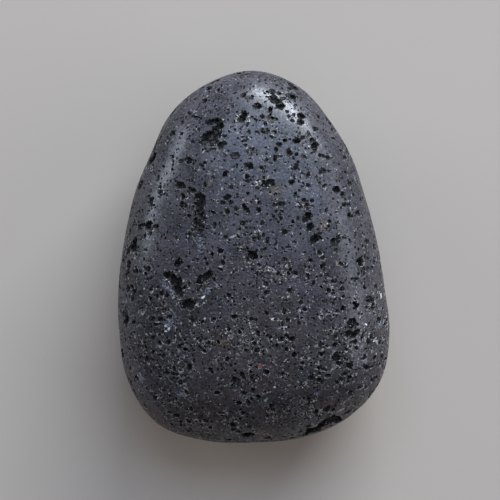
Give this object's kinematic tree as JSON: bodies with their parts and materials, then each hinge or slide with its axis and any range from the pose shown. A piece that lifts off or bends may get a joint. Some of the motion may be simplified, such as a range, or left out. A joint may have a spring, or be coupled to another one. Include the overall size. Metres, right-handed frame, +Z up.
{
  "type": "lava rock",
  "caption": "Palm-sized tumbled lava stone, egg-shaped in outline, with gas bubbles cut open all over its polished surface.",
  "frame": {"origin": "middle of the flat foot that the stone rests on, under the middle of its outline", "axes": "+Z up, +Y from the broad end to the narrow end, +X to the right seen from above with the narrow end away"},
  "size_m": [0.0364, 0.0498, 0.0194],
  "materials": {
    "basalt": "satin polished skin, rough in the open bubbles"
  },
  "bodies": {
    "root": {"lava_stone": "basalt"}
  },
  "joints": []
}
